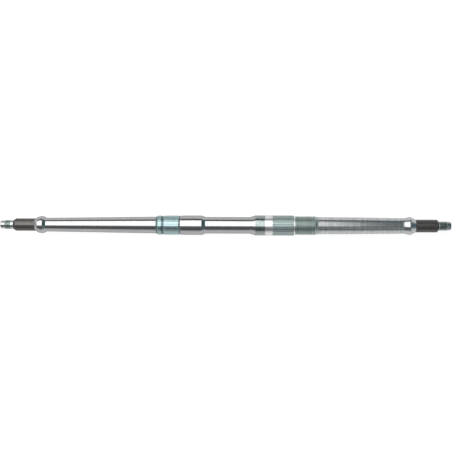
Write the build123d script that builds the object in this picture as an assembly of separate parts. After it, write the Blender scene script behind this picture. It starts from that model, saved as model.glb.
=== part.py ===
from build123d import *
import math
import os

# Rear axle shaft of a quad bike, one steel bar turned, splined and threaded.
# It lies along X with the middle of its length at the origin. Sizes are in
# millimetres and degrees, and lengths run in order from the left tip to the
# right tip. Threads are plain cylinders at their major diameter.

# Left hub end
left_point_length = 9.0
left_point_diameter = 15.8
left_nut_thread_length = 12.5
nut_thread_diameter = 18.0
left_shank_length = 5.0
left_hub_chamfer_length = 4.5
left_hub_spline_length = 40.0
hub_spline_diameter = 24.8
hub_spline_root_diameter = 22.7
hub_spline_teeth = 24

# Collar that stops the left hub
left_collar_cone_length = 5.5
left_collar_cone_diameter = 31.4
left_collar_shoulder_length = 5.5
left_collar_rim_length = 5.0
left_collar_diameter = 34.0
left_collar_fall_length = 6.5

# Left body, which widens towards the sprocket
left_body_length = 220.5
left_body_outer_diameter = 27.2
left_body_inner_diameter = 33.2

# Sprocket spline, cut across by the groove of its retaining ring
sprocket_lead_length = 4.5
sprocket_ring_length = 6.5
ring_groove_length = 2.8
ring_groove_diameter = 35.2
ring_groove_chamfer_length = 2.6
sprocket_spline_length = 28.9
sprocket_spline_diameter = 37.9
sprocket_spline_root_diameter = 35.5
sprocket_spline_teeth = 24
spline_relief_length = 3.4
spline_relief_diameter = 35.3

# Left bearing journal
bearing_land_length = 9.2
bearing_land_diameter = 37.9
left_journal_length = 32.8
left_journal_diameter = 38.4
left_shoulder_length = 7.2

# Middle body
middle_body_length = 87.5
middle_body_diameter = 32.8

# Right bearing journal and seal ring
right_shoulder_length = 11.0
right_shoulder_blend_radius = 12.0
right_journal_length = 18.8
right_journal_diameter = 40.0
seal_ring_length = 15.1
seal_ring_diameter = 39.5

# Brake disc spline
brake_spline_length = 41.1
brake_spline_diameter = 39.5
brake_spline_root_diameter = 37.0
brake_spline_teeth = 26
brake_spline_run_out_length = 4.0

# Lock nut thread
lock_thread_lead_length = 2.4
lock_thread_lead_diameter = 36.2
lock_thread_length = 39.8
lock_thread_diameter = 37.0
lock_thread_fall_length = 6.2

# Right body, nearly parallel and then narrowing towards the hub
right_body_inner_length = 80.8
right_body_inner_diameter = 33.5
right_body_middle_diameter = 32.5
right_body_outer_length = 81.4
right_body_outer_diameter = 30.2

# Collar that stops the right hub
right_flare_length = 13.4
right_collar_diameter = 35.4
right_collar_rim_length = 2.5
right_collar_cone_length = 9.9

# Right hub end
right_hub_spline_length = 40.9
right_hub_chamfer_length = 3.3
right_nut_thread_length = 16.5
right_point_length = 7.5
right_point_base_diameter = 17.2
right_point_tip_diameter = 15.4

# Edges, run-outs and cross holes shared by both ends
point_chamfer = 1.2
edge_chamfer = 0.6
collar_blend_radius = 3.0
hub_run_out_length = 3.0
spline_end_land = 0.5
spline_pressure_angle = 30.0
cutter_overlap = 1.0
cotter_hole_diameter = 4.0
left_cotter_from_tip = 5.2
right_cotter_from_tip = 5.0
left_cotter_turn = 80.0
right_cotter_turn = 14.0

lengths = {
    "left_point": left_point_length,
    "left_nut_thread": left_nut_thread_length,
    "left_shank": left_shank_length,
    "left_hub_chamfer": left_hub_chamfer_length,
    "left_hub_spline": left_hub_spline_length,
    "left_collar_cone": left_collar_cone_length,
    "left_collar_shoulder": left_collar_shoulder_length,
    "left_collar_rim": left_collar_rim_length,
    "left_collar_fall": left_collar_fall_length,
    "left_body": left_body_length,
    "sprocket_lead": sprocket_lead_length,
    "sprocket_ring": sprocket_ring_length,
    "ring_groove": ring_groove_length,
    "ring_groove_chamfer": ring_groove_chamfer_length,
    "sprocket_spline": sprocket_spline_length,
    "spline_relief": spline_relief_length,
    "bearing_land": bearing_land_length,
    "left_journal": left_journal_length,
    "left_shoulder": left_shoulder_length,
    "middle_body": middle_body_length,
    "right_shoulder": right_shoulder_length,
    "right_journal": right_journal_length,
    "seal_ring": seal_ring_length,
    "brake_spline": brake_spline_length,
    "lock_thread_lead": lock_thread_lead_length,
    "lock_thread": lock_thread_length,
    "lock_thread_fall": lock_thread_fall_length,
    "right_body_inner": right_body_inner_length,
    "right_body_outer": right_body_outer_length,
    "right_flare": right_flare_length,
    "right_collar_rim": right_collar_rim_length,
    "right_collar_cone": right_collar_cone_length,
    "right_hub_spline": right_hub_spline_length,
    "right_hub_chamfer": right_hub_chamfer_length,
    "right_nut_thread": right_nut_thread_length,
    "right_point": right_point_length,
}
overall_length = sum(lengths.values())

# Where each stretch starts and ends along X
start = {}
end = {}
reach = -overall_length / 2
for name, length in lengths.items():
    start[name] = reach
    reach += length
    end[name] = reach


def corner(x, diameter):
    return (x, diameter / 2)


def corners_of(name, first_diameter, last_diameter):
    return [corner(start[name], first_diameter), corner(end[name], last_diameter)]


def bevelled(name, diameter, left_bevel, right_bevel):
    # A cylinder with a 45 degree bevel at one end or both
    points = []
    if left_bevel > 0:
        points.append(corner(start[name], diameter - 2 * left_bevel))
    points.append(corner(start[name] + left_bevel, diameter))
    points.append(corner(end[name] - right_bevel, diameter))
    if right_bevel > 0:
        points.append(corner(end[name], diameter - 2 * right_bevel))
    return points


def polyline(points):
    kept = [points[0]]
    for point in points[1:]:
        if math.dist(point, kept[-1]) > 1e-6:
            kept.append(point)
    return Polyline(*kept)


def left_half_outline():
    # From the left tip to where the lock nut thread ends
    relief_middle = (start["spline_relief"] + end["spline_relief"]) / 2
    points = [corner(start["left_point"], 0)]
    points += bevelled("left_point", left_point_diameter, point_chamfer, 0)
    points += bevelled("left_nut_thread", nut_thread_diameter, edge_chamfer, 0)
    points += corners_of("left_shank", nut_thread_diameter, nut_thread_diameter)
    points += corners_of("left_hub_chamfer", nut_thread_diameter, hub_spline_diameter)
    points += corners_of("left_hub_spline", hub_spline_diameter, hub_spline_diameter)
    points += corners_of("left_collar_cone", hub_spline_diameter, left_collar_cone_diameter)
    points += corners_of("left_collar_shoulder", left_collar_cone_diameter, left_collar_diameter)
    points += corners_of("left_collar_rim", left_collar_diameter, left_collar_diameter)
    points += corners_of("left_collar_fall", left_collar_diameter, left_body_outer_diameter)
    points += corners_of("left_body", left_body_outer_diameter, left_body_inner_diameter)
    points += corners_of("sprocket_lead", left_body_inner_diameter, sprocket_spline_diameter)
    points += corners_of("sprocket_ring", sprocket_spline_diameter, sprocket_spline_diameter)
    points += corners_of("ring_groove", ring_groove_diameter, ring_groove_diameter)
    points += corners_of("ring_groove_chamfer", ring_groove_diameter, sprocket_spline_diameter)
    points += corners_of("sprocket_spline", sprocket_spline_diameter, sprocket_spline_diameter)
    points.append(corner(relief_middle, spline_relief_diameter))
    points += corners_of("bearing_land", bearing_land_diameter, bearing_land_diameter)
    points += corners_of("left_journal", left_journal_diameter, left_journal_diameter)
    points += corners_of("left_shoulder", left_journal_diameter, middle_body_diameter)
    points += corners_of("middle_body", middle_body_diameter, middle_body_diameter)
    points += corners_of("right_shoulder", middle_body_diameter, right_journal_diameter)
    points += corners_of("right_journal", right_journal_diameter, right_journal_diameter)
    points += corners_of("seal_ring", seal_ring_diameter, seal_ring_diameter)
    points += bevelled("brake_spline", brake_spline_diameter, 0, edge_chamfer)
    points += corners_of("lock_thread_lead", lock_thread_lead_diameter, lock_thread_lead_diameter)
    points += bevelled("lock_thread", lock_thread_diameter, 0, edge_chamfer)
    return points


def right_hub_outline():
    # From the rim of the right collar to the right tip
    tip_radius = right_point_tip_diameter / 2
    points = corners_of("right_collar_rim", right_collar_diameter, right_collar_diameter)
    points += corners_of("right_collar_cone", right_collar_diameter, hub_spline_diameter)
    points += corners_of("right_hub_spline", hub_spline_diameter, hub_spline_diameter)
    points += corners_of("right_hub_chamfer", hub_spline_diameter, nut_thread_diameter)
    points += bevelled("right_nut_thread", nut_thread_diameter, 0, 0)
    points.append(corner(start["right_point"], right_point_base_diameter))
    points.append((end["right_point"] - point_chamfer, tip_radius))
    points.append((end["right_point"], tip_radius - point_chamfer))
    points.append(corner(end["right_point"], 0))
    return points


def hollow_curve(flat_end, raised_end, direction):
    # An arc that leaves the body along the axis and rises to a larger stretch
    return TangentArc(flat_end, raised_end, tangent=(direction, 0))


def turned_blank():
    left = left_half_outline()
    fall_end = corner(end["lock_thread_fall"], right_body_inner_diameter)
    body_break = corner(end["right_body_inner"], right_body_middle_diameter)
    flare_start = corner(start["right_flare"], right_body_outer_diameter)
    right = right_hub_outline()
    outline = polyline(left)
    outline += hollow_curve(fall_end, left[-1], -1)
    outline += polyline([fall_end, body_break, flare_start])
    outline += hollow_curve(flare_start, right[0], 1)
    outline += polyline(right)
    outline += Line(right[-1], left[0])
    section = make_face(outline)
    blends = [
        (corner(start["left_collar_rim"], left_collar_diameter), collar_blend_radius),
        (corner(end["left_collar_rim"], left_collar_diameter), collar_blend_radius),
        (corner(start["left_body"], left_body_outer_diameter), collar_blend_radius),
        (corner(start["right_shoulder"], middle_body_diameter), right_shoulder_blend_radius),
    ]
    for place, radius in blends:
        at_place = section.vertices().sort_by_distance(Vector(*place, 0))[0]
        section = fillet(at_place, radius)
    return revolve(section, Axis.X, 360)


def spline_gaps(open_x, closed_x, teeth, diameter, root_diameter, run_out):
    # All gaps of one spline, flat on the floor with straight flanks. Each is
    # open at open_x, and at closed_x a ramp brings the cutter out of the steel.
    root = root_diameter / 2
    tip = diameter / 2
    pitch = (root + tip) / 2
    outside = tip + cutter_overlap
    half_width = pitch * math.sin(math.radians(90 / teeth))
    spread = math.tan(math.radians(spline_pressure_angle))
    root_half = half_width - (pitch - root) * spread
    outside_half = half_width + (outside - pitch) * spread
    profile = Polygon((-root_half, root), (root_half, root), (outside_half, outside),
                      (-outside_half, outside), align=None)
    gap = extrude(Plane.YZ.offset(min(open_x, closed_x)) * profile, abs(closed_x - open_x))
    if run_out > 0:
        ramp_start = closed_x - math.copysign(run_out, closed_x - open_x)
        ramp = Polygon((ramp_start, root), (closed_x, tip), (closed_x, 0), (ramp_start, 0), align=None)
        gap -= extrude(Plane.XZ * ramp, outside_half, both=True)
    return [gap.rotate(Axis.X, index * 360 / teeth) for index in range(teeth)]


def hub_gaps(open_x, collar_x):
    closed_x = collar_x - math.copysign(spline_end_land, collar_x - open_x)
    return spline_gaps(open_x, closed_x, hub_spline_teeth, hub_spline_diameter,
                       hub_spline_root_diameter, hub_run_out_length)


def sprocket_gaps():
    relief_middle = (start["spline_relief"] + end["spline_relief"]) / 2
    return spline_gaps(start["sprocket_lead"], relief_middle, sprocket_spline_teeth,
                       sprocket_spline_diameter, sprocket_spline_root_diameter, 0)


def brake_gaps():
    closed_x = start["brake_spline"] + spline_end_land
    return spline_gaps(end["brake_spline"], closed_x, brake_spline_teeth, brake_spline_diameter,
                       brake_spline_root_diameter, brake_spline_run_out_length)


def cotter_hole(x, turn):
    # A hole right through the point, turned about the shaft from vertical
    reach_across = max(left_point_diameter, right_point_base_diameter) + 2 * cutter_overlap
    drill = Cylinder(cotter_hole_diameter / 2, reach_across)
    return (Pos(x, 0, 0) * drill).rotate(Axis.X, turn)


def axle_shaft():
    shaft = turned_blank()
    shaft -= hub_gaps(start["left_hub_chamfer"], end["left_hub_spline"])
    shaft -= hub_gaps(end["right_hub_chamfer"], start["right_hub_spline"])
    shaft -= sprocket_gaps()
    shaft -= brake_gaps()
    shaft -= cotter_hole(start["left_point"] + left_cotter_from_tip, left_cotter_turn)
    shaft -= cotter_hole(end["right_point"] - right_cotter_from_tip, right_cotter_turn)
    return shaft


os.makedirs("parts", exist_ok=True)
shaft = axle_shaft()
export_step(shaft, "parts/axle_shaft.step")
print("overall length", round(overall_length, 2))
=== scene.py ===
import math

import bmesh
import bpy
import numpy as np
from mathutils import Matrix


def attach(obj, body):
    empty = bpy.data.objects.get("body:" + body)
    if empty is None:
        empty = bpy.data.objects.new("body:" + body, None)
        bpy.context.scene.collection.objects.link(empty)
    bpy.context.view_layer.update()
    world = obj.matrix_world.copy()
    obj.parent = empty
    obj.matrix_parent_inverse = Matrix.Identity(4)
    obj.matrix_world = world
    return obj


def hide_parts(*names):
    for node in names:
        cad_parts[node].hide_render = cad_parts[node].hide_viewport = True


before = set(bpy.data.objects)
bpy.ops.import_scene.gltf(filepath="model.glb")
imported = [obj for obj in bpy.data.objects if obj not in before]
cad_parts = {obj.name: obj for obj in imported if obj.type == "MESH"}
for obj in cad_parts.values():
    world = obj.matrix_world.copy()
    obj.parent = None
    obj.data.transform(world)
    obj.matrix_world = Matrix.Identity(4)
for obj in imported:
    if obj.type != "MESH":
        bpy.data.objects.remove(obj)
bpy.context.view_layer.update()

# Rear axle of a quad bike, turned from one bar. The axis is X, the middle of
# the length is the origin, and the tables give millimetres from the left tip.

scene = bpy.context.scene
mm = 0.001
halfLength = 445.0
roundSteps = 96        # facets round a plain turned stretch
sharpAngle = math.radians(32)
drillReach = 14.0      # half the length of a drill, past the shaft on both sides
bumpDistance = 0.2 * mm


def smoothMin(a, b, soft):
    # the lower of a and b, with their crossing rounded over a height of soft
    h = np.clip(0.5 + 0.5 * (b - a) / soft, 0, 1)
    return b * (1 - h) + a * h - soft * h * (1 - h)


def smoothMax(a, b, soft):
    # the higher of the two, rounded over in the same way
    return -smoothMin(-a, -b, soft)


def closedTube(name, along, radius, angle, rowsPerTurn=0):
    # Every point is (x, -r sin a, r cos a), with x and r on a grid of rows along
    # the shaft and columns round it. The last column joins the first, moved on
    # by rowsPerTurn rows on a thread, and flat discs close the two ends.
    rows, columns = radius.shape
    x = np.broadcast_to(along, radius.shape) - halfLength
    points = np.stack([x, -radius * np.sin(angle), radius * np.cos(angle)], -1)
    ends = [[x[0, 0], 0, 0], [x[-1, 0], 0, 0]]
    points = np.concatenate([points.reshape(-1, 3), ends]) * mm

    index = np.arange(rows * columns).reshape(rows, columns)
    seam = index[np.minimum(np.arange(rows) + rowsPerTurn, rows - 1), 0]
    wrapped = np.column_stack([index, seam])
    quads = np.stack([wrapped[:-1, :-1], wrapped[:-1, 1:], wrapped[1:, 1:], wrapped[1:, :-1]], -1)
    firstRim, lastRim = wrapped[0], wrapped[-1]
    hub = np.full(columns, rows * columns)
    firstDisc = np.column_stack([hub, firstRim[1:], firstRim[:-1]])
    lastDisc = np.column_stack([hub + 1, lastRim[:-1], lastRim[1:]])

    mesh = bpy.data.meshes.new(name)
    mesh.from_pydata(points.tolist(), [], quads.reshape(-1, 4).tolist()
                     + firstDisc.tolist() + lastDisc.tolist())
    shape = bmesh.new()
    shape.from_mesh(mesh)
    bmesh.ops.remove_doubles(shape, verts=shape.verts, dist=1e-7)
    bmesh.ops.dissolve_degenerate(shape, edges=shape.edges, dist=1e-8)
    shape.to_mesh(mesh)
    shape.free()
    mesh.polygons.foreach_set("use_smooth", [True] * len(mesh.polygons))
    mesh.set_sharp_from_angle(angle=sharpAngle)
    piece = bpy.data.objects.new(name, mesh)
    scene.collection.objects.link(piece)
    return piece


def roundedOutline(corners, arcSteps=6, spacing=6.0, margin=0.25):
    # The outline runs straight from corner to corner (x, diameter, blend). A
    # blend of more than nothing turns the corner on an arc of that radius.
    xy = np.array([(x, d / 2) for x, d, blend in corners], float)
    path = [xy[:1]]
    for k in range(1, len(corners) - 1):
        before, here, after = xy[k - 1], xy[k], xy[k + 1]
        backward = (before - here) / np.linalg.norm(before - here)
        forward = (after - here) / np.linalg.norm(after - here)
        halfTurn = (math.pi - math.acos(np.clip(backward @ forward, -1, 1))) / 2
        room = 0.45 * min(np.linalg.norm(before - here), np.linalg.norm(after - here))
        reach = min(corners[k][2] * math.tan(halfTurn), room)
        if reach < 1e-4:
            path.append(here[None])
            continue
        bisector = (backward + forward) / np.linalg.norm(backward + forward)
        blend = reach / math.tan(halfTurn)
        centre = here + bisector * math.hypot(reach, blend)
        t = np.linspace(-halfTurn, halfTurn, arcSteps + 1)[:, None]
        side = np.array([-bisector[1], bisector[0]])
        side = side * np.sign(side @ (forward - backward))
        path.append(centre + blend * (side * np.sin(t) - bisector * np.cos(t)))
    path.append(xy[-1:])
    path = np.concatenate(path)
    return denser(path, spacing, margin)


def denser(path, spacing, margin):
    # more rows along each straight run: one close to both ends, the rest even
    fuller = [path[:1]]
    for first, last in zip(path[:-1], path[1:]):
        run = np.linalg.norm(last - first)
        if run > 4 * margin:
            count = max(int(run / spacing), 1)
            t = np.concatenate([[margin / run], np.arange(1, count) / count, [1 - margin / run]])
            fuller.append(first + t[:, None] * (last - first))
        fuller.append(last[None])
    return np.concatenate(fuller)


def hollowArc(flat, raised, steps=10):
    # An arc that leaves the body along the axis and climbs to the raised corner:
    # its radius is (dx * dx + dy * dy) / 2 dy.
    dx, dy = raised[0] - flat[0], (raised[1] - flat[1]) / 2
    arcRadius = (dx * dx + dy * dy) / (2 * dy)
    turn = np.linspace(0, 2 * math.atan2(dy, abs(dx)), steps + 1)
    x = flat[0] + math.copysign(1, dx) * arcRadius * np.sin(turn)
    diameter = flat[1] + 2 * arcRadius * (1 - np.cos(turn))
    return [(a, b, 0) for a, b in zip(x, diameter)]


def turnedPiece(name, corners, finish):
    # The outline spun round the axis: the radius depends on x alone
    outline = roundedOutline(corners)
    angle = np.arange(roundSteps) * 2 * math.pi / roundSteps
    radius = np.repeat(outline[:, 1:], roundSteps, axis=1)
    piece = closedTube(name, outline[:, :1], radius, angle)
    return finishedPiece(piece, finish)


def splinePiece(name, spline, finish):
    # A tooth gap has a flat floor and straight flanks that lean out by the
    # pressure angle. From the middle of a gap, at an angle a, the floor is at
    # floor / cos a, and the flank at (w - p s) / (sin a - s cos a), where w is
    # half the gap at the pitch radius p and s the lean. The surface is the
    # higher of the two, and never above the turned outline.
    outline = denser(np.array([(x, d / 2) for x, d in spline["outline"]], float), 2.5, 0.15)
    x = outline[:, :1]
    tip, root = spline["diameter"] / 2, spline["rootDiameter"] / 2
    pitchRadius = (tip + root) / 2
    lean = math.tan(math.radians(spline["pressureAngle"]))
    toothAngle = 2 * math.pi / spline["teeth"]
    halfGap = pitchRadius * math.sin(toothAngle / 4)
    flankTop = halfGap - pitchRadius * lean

    def angleAt(height):
        return math.atan2(halfGap + (height - pitchRadius) * lean, height)

    floorCorner, tipCorner = angleAt(root), angleAt(tip)
    cornerColumns = 0.06 * toothAngle * np.array([-0.5, 0, 0.5])
    half = np.concatenate([floorCorner + cornerColumns, tipCorner + cornerColumns])
    offsets = np.concatenate([[0], half, [toothAngle / 2], -half[::-1]])
    angle = (np.arange(spline["teeth"])[:, None] * toothAngle + offsets).ravel()
    a = np.abs(np.tile(offsets, spline["teeth"]))

    floor = np.interp(x, *zip(*spline["floor"])) / 2
    leaning = np.minimum(np.sin(a) - lean * np.cos(a), -1e-3)
    flank = np.where(np.sin(a) < lean * np.cos(a), flankTop / leaning, 10 * tip)
    flank = np.broadcast_to(flank, (len(x), len(a)))
    gap = smoothMax(floor / np.cos(a), flank, spline["filletSize"])
    radius = smoothMin(gap, outline[:, 1:], spline["edgeSize"])
    radius = np.minimum(radius, outline[:, 1:])
    piece = closedTube(name, x, radius, angle)
    return finishedPiece(piece, finish)


def threadPiece(name, thread, finish):
    # Rows lie along the helix, four to a turn of it: x = row + pitch a / 2 pi,
    # held between the two ends, so each row is one edge of the crest or root.
    # The depth fades to nothing at both ends, where the outline takes over.
    xs, diameters = zip(*thread["outline"])
    pitch, first, last = thread["pitch"], xs[0], xs[-1]
    crestEdge = np.array([0, 0.14, 0.44, 0.70])
    depthThere = np.array([0, 0, 1, 1])
    turns = int(math.ceil((last - first) / pitch)) + 2
    rows = (np.arange(-1, turns)[:, None] + crestEdge).ravel() * pitch + first
    depth = np.tile(depthThere, turns + 1)
    kept = rows <= last + 1e-9
    rows, depth = rows[kept], depth[kept]
    angle = np.arange(thread["steps"]) * 2 * math.pi / thread["steps"]
    x = np.clip(rows[:, None] + pitch * angle / (2 * math.pi), first, last)
    x[-1] = last
    cut = np.interp(x, *zip(*thread["cutShare"])) * depth[:, None] * thread["depth"]
    crest = np.interp(x, xs, np.array(diameters) / 2)
    radius = np.minimum(crest, thread["diameter"] / 2 - cut)
    piece = closedTube(name, x, radius, angle, len(crestEdge))
    return finishedPiece(piece, finish)


def drillCotter(piece, hole):
    # A round hole straight through the point, turned about the shaft
    drillSteps = 32
    turn = np.arange(drillSteps) * 2 * math.pi / drillSteps
    drillRadius = np.full((2, drillSteps), hole["diameter"] / 2)
    ends = np.array([[halfLength - drillReach], [halfLength + drillReach]])
    drill = closedTube(piece.name + "Drill", ends, drillRadius, turn)
    upright = Matrix.Rotation(math.radians(90), 4, "Y")
    across = Matrix.Rotation(math.radians(hole["turn"]), 4, "X")
    place = Matrix.Translation(((hole["at"] - halfLength) * mm, 0, 0))
    drill.data.transform(place @ across @ upright)
    cut = piece.modifiers.new("cotterHole", "BOOLEAN")
    cut.object, cut.operation, cut.solver = drill, "DIFFERENCE", "EXACT"
    depsgraph = bpy.context.evaluated_depsgraph_get()
    drilled = bpy.data.meshes.new_from_object(piece.evaluated_get(depsgraph))
    piece.modifiers.clear()
    piece.data = drilled
    drilled.set_sharp_from_angle(angle=sharpAngle)
    bpy.data.objects.remove(drill)
    return piece


def finishedPiece(piece, finish):
    # gives the piece its finish and ties it to the shaft
    piece.data.materials.append(finish)
    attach(piece, "root")
    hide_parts("axle_shaft")
    return piece


def addNode(tree, kind, inputs=None, **settings):
    # a shader node with its settings, and each input linked or set to a value
    node = tree.nodes.new(kind)
    for key, value in settings.items():
        setattr(node, key, value)
    for key, value in (inputs or {}).items():
        if isinstance(value, bpy.types.NodeSocket):
            tree.links.new(value, node.inputs[key])
        else:
            node.inputs[key].default_value = value
    return node


def mathNode(tree, operation, first, second=0.0):
    node = addNode(tree, "ShaderNodeMath", {0: first, 1: second}, operation=operation)
    return node.outputs[0]


def mapNode(tree, value, fromLow, fromHigh, toLow, toHigh):
    # carries fromLow..fromHigh over to toLow..toHigh in a straight line
    ranges = {0: value, 1: fromLow, 2: fromHigh, 3: toLow, 4: toHigh}
    return addNode(tree, "ShaderNodeMapRange", ranges).outputs[0]


def mixNode(tree, factor, first, second, blend="MIX"):
    # first and second mixed by factor; in this node 6 and 7 are the colour inputs
    node = addNode(tree, "ShaderNodeMix", data_type="RGBA", blend_type=blend)
    for place, value in ((0, factor), (6, first), (7, second)):
        if isinstance(value, bpy.types.NodeSocket):
            tree.links.new(value, node.inputs[place])
        else:
            node.inputs[place].default_value = value
    return node.outputs[2]


def rgba(colour):
    return (*colour, 1.0)


def steelFinish(name, look):
    # Metal with lathe marks that change along the shaft only, a cloudy change
    # of tone, and painted shade that darkens the colour low in the teeth and threads.
    material = bpy.data.materials.new(name)
    material.use_nodes = True
    tree = material.node_tree
    metal = tree.nodes["Principled BSDF"]
    place = addNode(tree, "ShaderNodeTexCoord").outputs["Object"]
    split = addNode(tree, "ShaderNodeSeparateXYZ", {0: place}).outputs

    markInputs = {"W": split[0], "Scale": look["markScale"], "Detail": 3.0}
    marks = addNode(tree, "ShaderNodeTexNoise", markInputs, noise_dimensions="1D").outputs[0]
    cloudInputs = {"Vector": place, "Scale": look["cloudScale"], "Detail": 4.0, "Roughness": 0.6}
    clouds = addNode(tree, "ShaderNodeTexNoise", cloudInputs).outputs[0]
    cloudShare = mapNode(tree, clouds, 0.35, 0.65, 0.0, 1.0)
    colour = mixNode(tree, cloudShare, rgba(look["colour"]), rgba(look["cloudColour"]))
    # Painted shade: below highRadius the colour darkens towards the roots of the teeth and threads.
    if "lowRadius" in look:
        crossing = addNode(tree, "ShaderNodeCombineXYZ", {1: split[1], 2: split[2]}).outputs[0]
        measured = addNode(tree, "ShaderNodeVectorMath", {0: crossing}, operation="LENGTH")
        radius = measured.outputs["Value"]
        height = mapNode(tree, radius, look["lowRadius"] * mm, look["highRadius"] * mm, 0.0, 1.0)
        colour = mixNode(tree, height, rgba(look["paintedRootShade"]), colour)
    tone = mapNode(tree, marks, 0.3, 0.7, 1.0 - look["markTone"], 1.0 + look["markTone"])
    grey = addNode(tree, "ShaderNodeCombineColor", {0: tone, 1: tone, 2: tone}).outputs[0]
    colour = mixNode(tree, 1.0, colour, grey, "MULTIPLY")
    tree.links.new(colour, metal.inputs["Base Color"])

    rough = mapNode(tree, clouds, 0.3, 0.7, look["roughness"] - look["roughChange"],
                    look["roughness"] + look["roughChange"])
    tree.links.new(rough, metal.inputs["Roughness"])
    bumpInputs = {"Strength": look["markDepth"], "Distance": bumpDistance, "Height": marks}
    bump = addNode(tree, "ShaderNodeBump", bumpInputs)
    tree.links.new(bump.outputs[0], metal.inputs["Normal"])
    metal.inputs["Metallic"].default_value = 1.0
    metal.inputs["Specular Tint"].default_value = rgba(look["edgeTint"])
    return material


# how strongly each kind of steel mirrors at a grazing angle
plainEdge = (0.55, 0.55, 0.56)
satinEdge = (0.7, 0.7, 0.7)
paleEdge = (0.9, 0.9, 0.9)
plainLook = {
    "colour": (0.42, 0.42, 0.425), "cloudColour": (0.385, 0.39, 0.395), "cloudScale": 60,
    "markScale": 900, "markTone": 0.03, "markDepth": 0.12, "roughness": 0.16, "roughChange": 0.03,
    "edgeTint": plainEdge,
}
# Ground steel of the right journal: finer marks and more roughness are its finish; its darker colour
# is partly that finish and partly painted shade for the dimmer light it mirrors.
groundShadedLook = {
    "colour": (0.31, 0.345, 0.345), "cloudColour": (0.24, 0.275, 0.275), "cloudScale": 260,
    "markScale": 1600, "markTone": 0.05, "markDepth": 0.2, "roughness": 0.2, "roughChange": 0.04,
    "edgeTint": paleEdge,
}
satinLook = {
    "colour": (0.72, 0.72, 0.73), "cloudColour": (0.66, 0.66, 0.67), "cloudScale": 120,
    "markScale": 1500, "markTone": 0.04, "markDepth": 0.3, "roughness": 0.30, "roughChange": 0.03,
    "edgeTint": satinEdge,
}
# Looks with lowRadius paint shade into their tooth gaps and thread roots.
sprocketLook = {
    "colour": (0.33, 0.47, 0.48), "cloudColour": (0.40, 0.50, 0.51), "cloudScale": 200,
    "markScale": 700, "markTone": 0.05, "markDepth": 0.1, "roughness": 0.34, "roughChange": 0.06,
    "lowRadius": 17.9, "highRadius": 18.8, "paintedRootShade": (0.12, 0.19, 0.20), "edgeTint": paleEdge,
}
brakeLook = {
    "colour": (0.33, 0.41, 0.40), "cloudColour": (0.40, 0.47, 0.46), "cloudScale": 220,
    "markScale": 800, "markTone": 0.05, "markDepth": 0.1, "roughness": 0.45, "roughChange": 0.05,
    "lowRadius": 18.5, "highRadius": 19.7, "paintedRootShade": (0.15, 0.21, 0.21), "edgeTint": paleEdge,
}
lockThreadLook = {
    "colour": (0.58, 0.64, 0.62), "cloudColour": (0.46, 0.54, 0.52), "cloudScale": 260,
    "markScale": 240, "markTone": 0.12, "markDepth": 0.05, "roughness": 0.4, "roughChange": 0.05,
    "lowRadius": 17.6, "highRadius": 18.4, "paintedRootShade": (0.36, 0.42, 0.40), "edgeTint": paleEdge,
}
rightBodyLook = {
    "colour": (0.52, 0.53, 0.535), "cloudColour": (0.42, 0.44, 0.44), "cloudScale": 130,
    "markScale": 260, "markTone": 0.10, "markDepth": 0.1, "roughness": 0.20, "roughChange": 0.05,
    "edgeTint": satinEdge,
}
hubSplineLook = {
    "colour": (0.155, 0.147, 0.142), "cloudColour": (0.11, 0.105, 0.10), "cloudScale": 500,
    "markScale": 900, "markTone": 0.06, "markDepth": 0.1, "roughness": 0.42, "roughChange": 0.06,
    "lowRadius": 11.3, "highRadius": 12.3, "paintedRootShade": (0.06, 0.056, 0.053), "edgeTint": paleEdge,
}
nutThreadLook = {
    "colour": (0.50, 0.56, 0.55), "cloudColour": (0.34, 0.40, 0.39), "cloudScale": 420,
    "markScale": 500, "markTone": 0.06, "markDepth": 0.1, "roughness": 0.3, "roughChange": 0.06,
    "lowRadius": 8.1, "highRadius": 8.9, "paintedRootShade": (0.26, 0.30, 0.30), "edgeTint": paleEdge,
}

plainSteel = steelFinish("plainSteel", plainLook)
groundShadedSteel = steelFinish("groundShadedSteel", groundShadedLook)
satinSteel = steelFinish("satinSteel", satinLook)
sprocketSteel = steelFinish("sprocketSteel", sprocketLook)
brakeSteel = steelFinish("brakeSteel", brakeLook)
lockThreadSteel = steelFinish("lockThreadSteel", lockThreadLook)
rightBodySteel = steelFinish("rightBodySteel", rightBodyLook)
hubSplineSteel = steelFinish("hubSplineSteel", hubSplineLook)
nutThreadSteel = steelFinish("nutThreadSteel", nutThreadLook)
print("finishes made")


leftPoint = {
    "corners": [(0, 13.4, 0), (1.2, 15.8, 0.4), (9, 15.8, 0)],
    "hole": {"at": 5.2, "diameter": 4.0, "turn": 80},
}
point = turnedPiece("leftPoint", leftPoint["corners"], plainSteel)
drillCotter(point, leftPoint["hole"])

leftNutThread = {
    "diameter": 18.0, "pitch": 1.5, "depth": 0.9, "steps": 72,
    "outline": [(9, 16.4), (9.9, 18), (26.5, 18)],
    "cutShare": [(9, 0), (9.4, 1), (20.6, 1), (21.6, 0)],
}
threadPiece("leftNutThread", leftNutThread, nutThreadSteel)

leftHubSpline = {
    "diameter": 24.8, "rootDiameter": 22.7, "teeth": 24, "pressureAngle": 30,
    "filletSize": 0.15, "edgeSize": 0.12,
    "outline": [(26.5, 18), (31, 24.8), (67.5, 24.8), (71, 24.8)],
    "floor": [(67.5, 22.7), (70.5, 24.8), (71, 26)],
}
splinePiece("leftHubSpline", leftHubSpline, hubSplineSteel)

leftBody = {
    "corners": [
        (71, 24.8, 0), (76.5, 31.4, 0.8), (82, 34, 3), (87, 34, 3), (93.5, 27.2, 3), (314, 33.2, 0),
    ],
}
turnedPiece("leftBody", leftBody["corners"], plainSteel)
print("left end and body made")

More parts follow.
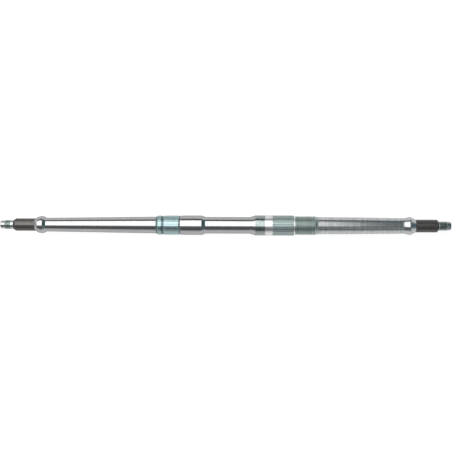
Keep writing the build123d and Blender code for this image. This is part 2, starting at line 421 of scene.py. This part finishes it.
sprocketSpline = {
    "diameter": 37.9, "rootDiameter": 35.5, "teeth": 24, "pressureAngle": 30,
    "filletSize": 0.2, "edgeSize": 0.15,
    "outline": [
        (314, 33.2), (318.5, 37.9), (325, 37.9), (325, 35.2), (327.8, 35.2), (330.4, 37.9),
        (359.3, 37.9), (361, 35.3),
    ],
    "floor": [(314, 35.5), (361, 35.5)],
}
splinePiece("sprocketSpline", sprocketSpline, sprocketSteel)

leftJournal = {
    "corners": [
        (361, 35.3, 0), (362.7, 37.9, 0.3), (371.7, 37.9, 0.1), (371.9, 38.4, 0.1), (404.7, 38.4, 0.5),
        (411.9, 32.8, 1.5), (420, 32.8, 0),
    ],
}
turnedPiece("leftJournal", leftJournal["corners"], plainSteel)

middleBody = {
    "corners": [(420, 32.8, 0), (499.4, 32.8, 12), (510.4, 39.88, 0)],
}
turnedPiece("middleBody", middleBody["corners"], plainSteel)

rightJournal = {
    "corners": [(510.4, 39.88, 0), (529.2, 39.88, 0)],
}
turnedPiece("rightJournal", rightJournal["corners"], groundShadedSteel)

sealRing = {
    "corners": [(529.2, 39.1, 0), (529.4, 39.5, 0.1), (544.1, 39.5, 0.1), (544.3, 39.1, 0)],
}
turnedPiece("sealRing", sealRing["corners"], satinSteel)

brakeSpline = {
    "diameter": 39.5, "rootDiameter": 37.0, "teeth": 26, "pressureAngle": 30,
    "filletSize": 0.2, "edgeSize": 0.15,
    "outline": [(544.3, 39.5), (548.8, 39.5), (584.8, 39.5), (585.4, 38.3)],
    "floor": [(544.3, 40.4), (544.8, 39.5), (548.8, 37), (585.4, 37)],
}
splinePiece("brakeSpline", brakeSpline, brakeSteel)

# The lead's pale satin steel is partly its satin finish and partly a painted highlight where the
# narrow groove and chamfer catch the light.
threadLead = {
    "corners": [(585.4, 36.2, 0), (587.8, 36.2, 0)],
}
turnedPiece("threadLead", threadLead["corners"], satinSteel)

lockThread = {
    "diameter": 37.0, "pitch": 1.5, "depth": 0.9, "steps": 96,
    "outline": [(587.8, 36.2), (588.2, 37), (627.0, 37), (627.6, 35.8)],
    "cutShare": [(587.8, 0), (588.4, 1), (626.4, 1), (627.4, 0)],
}
threadPiece("lockThread", lockThread, lockThreadSteel)

threadFall = {
    "corners": hollowArc((633.8, 33.5), (627.6, 35.8))[::-1],
}
turnedPiece("threadFall", threadFall["corners"], lockThreadSteel)
print("middle made")

rightBody = {
    "corners": [(633.8, 33.5, 0), (714.6, 32.5, 40)] + hollowArc((796, 30.2), (809.4, 35.4))
    + [(811.9, 35.4, 0.6), (821.8, 24.8, 0)],
}
turnedPiece("rightBody", rightBody["corners"], rightBodySteel)

rightHubSpline = {
    "diameter": 24.8, "rootDiameter": 22.7, "teeth": 24, "pressureAngle": 30,
    "filletSize": 0.15, "edgeSize": 0.12,
    "outline": [(821.8, 24.8), (825.3, 24.8), (862.7, 24.8), (866, 18)],
    "floor": [(821.8, 26), (822.3, 24.8), (825.3, 22.7), (866, 22.7)],
}
splinePiece("rightHubSpline", rightHubSpline, hubSplineSteel)

rightNutThread = {
    "diameter": 18.0, "pitch": 1.5, "depth": 0.9, "steps": 72,
    "outline": [(866, 18), (882.0, 18), (882.5, 17.2)],
    "cutShare": [(866, 0), (866.8, 0), (867.8, 1), (881.4, 1), (882.3, 0)],
}
threadPiece("rightNutThread", rightNutThread, nutThreadSteel)

rightPoint = {
    "corners": [(882.5, 17.2, 0), (888.8, 15.4, 0.4), (890, 13, 0)],
    "hole": {"at": 885.0, "diameter": 4.0, "turn": 14},
}
point = turnedPiece("rightPoint", rightPoint["corners"], nutThreadSteel)
drillCotter(point, rightPoint["hole"])
print("right end made")

studio = {
    "floorHeight": -20.0 * mm, "floorSize": 30.0, "floorGlow": 0.92, "floorColour": (0.15, 0.15, 0.15),
    "skyDark": (0.155, 0.157, 0.16), "skyDarkRight": (0.10, 0.17, 0.19), "skyPale": (0.88, 0.88, 0.89),
    "paleFrom": 0.36, "paleTo": 0.14, "skyLean": 0.13,
}

floorMesh = bpy.data.meshes.new("studioFloor")
side = studio["floorSize"] / 2
level = studio["floorHeight"]
floorCorners = [(-side, -side, level), (side, -side, level), (side, side, level), (-side, side, level)]
floorMesh.from_pydata(floorCorners, [], [(0, 1, 2, 3)])
floor = bpy.data.objects.new("studioFloor", floorMesh)
scene.collection.objects.link(floor)

# Pale paper that seems to glow to the camera and to steel, and is plain grey to the light
paper = bpy.data.materials.new("floorPaper")
paper.use_nodes = True
tree = paper.node_tree
tree.nodes.clear()
path = addNode(tree, "ShaderNodeLightPath").outputs
seen = mathNode(tree, "MAXIMUM", path["Is Camera Ray"], path["Is Glossy Ray"])
seen = mathNode(tree, "MAXIMUM", seen, path["Is Transmission Ray"])
strength = mathNode(tree, "MULTIPLY", seen, studio["floorGlow"])
glow = addNode(tree, "ShaderNodeEmission", {"Strength": strength})
matt = addNode(tree, "ShaderNodeBsdfDiffuse", {"Color": rgba(studio["floorColour"])})
both = addNode(tree, "ShaderNodeAddShader", {0: glow.outputs[0], 1: matt.outputs[0]})
addNode(tree, "ShaderNodeOutputMaterial", {"Surface": both.outputs[0]})
floorMesh.materials.append(paper)

# The sky is dark overhead and pale near the horizon: pale where z + lean y is
# low, so the band reaches higher on the near side.
world = bpy.data.worlds.new("studioWorld")
world.use_nodes = True
scene.world = world
tree = world.node_tree
tree.nodes.clear()
toward = addNode(tree, "ShaderNodeTexCoord").outputs["Generated"]
split = addNode(tree, "ShaderNodeSeparateXYZ", {0: toward}).outputs
leaned = mathNode(tree, "ADD", split[2], mathNode(tree, "MULTIPLY", split[1], studio["skyLean"]))
pale = mapNode(tree, leaned, studio["paleFrom"], studio["paleTo"], 0.0, 1.0)
rightShare = mapNode(tree, split[0], -0.1, 0.6, 0.0, 1.0)
dark = mixNode(tree, rightShare, rgba(studio["skyDark"]), rgba(studio["skyDarkRight"]))
sky = mixNode(tree, pale, dark, rgba(studio["skyPale"]))
background = addNode(tree, "ShaderNodeBackground", {"Color": sky, "Strength": 1.0})
addNode(tree, "ShaderNodeOutputWorld", {"Surface": background.outputs[0]})

# Soft boxes in a row overhead, given by their edges in metres and by brightness.
softBoxes = {
    "mainBox": {"x": (-3.4, 0.20), "y": (-0.36, 3.1), "height": 2.0, "brightness": 2.6},
    "endBox": {"x": (0.20, 0.50), "y": (-0.36, 3.1), "height": 2.0, "brightness": 0.8},
    "edgeBox": {"x": (-3.4, 0.20), "y": (-0.95, -0.36), "height": 2.0, "brightness": 0.16},
    "nearCard": {"x": (0.27, 1.6), "y": (-2.6, -0.75), "height": 2.0, "brightness": 0.22},
}


def softBox(name, box):
    # A flat lamp that faces down, of energy brightness times pi times its area
    lamp = bpy.data.lights.new(name, "AREA")
    width, depth = box["x"][1] - box["x"][0], box["y"][1] - box["y"][0]
    lamp.shape, lamp.size, lamp.size_y = "RECTANGLE", width, depth
    lamp.energy = box["brightness"] * math.pi * width * depth
    holder = bpy.data.objects.new(name, lamp)
    holder.location = (sum(box["x"]) / 2, sum(box["y"]) / 2, box["height"])
    holder.visible_camera = False
    scene.collection.objects.link(holder)


for name, box in softBoxes.items():
    softBox(name, box)
print("floor and light made")


# The camera hangs over the shaft, leaning towards its right end
view = {
    "distance": 1.75, "aimX": 0.0070, "aimY": -0.0014, "lean": 3.494, "roll": 0.22,
    "lens": 70.59, "sensor": 36.0,
}
lean, roll = math.radians(view["lean"]), math.radians(view["roll"])
lensData = bpy.data.cameras.new("overheadCamera")
lensData.lens, lensData.sensor_width = view["lens"], view["sensor"]
lensData.clip_start, lensData.clip_end = 0.05, 100.0
camera = bpy.data.objects.new("overheadCamera", lensData)
turned = Matrix.Rotation(lean, 4, "Y") @ Matrix.Rotation(roll, 4, "Z")
camera.matrix_world = (Matrix.Translation((view["aimX"], view["aimY"], 0)) @ turned
                       @ Matrix.Translation((0, 0, view["distance"])))
scene.collection.objects.link(camera)
scene.camera = camera
scene.view_settings.view_transform = "Standard"
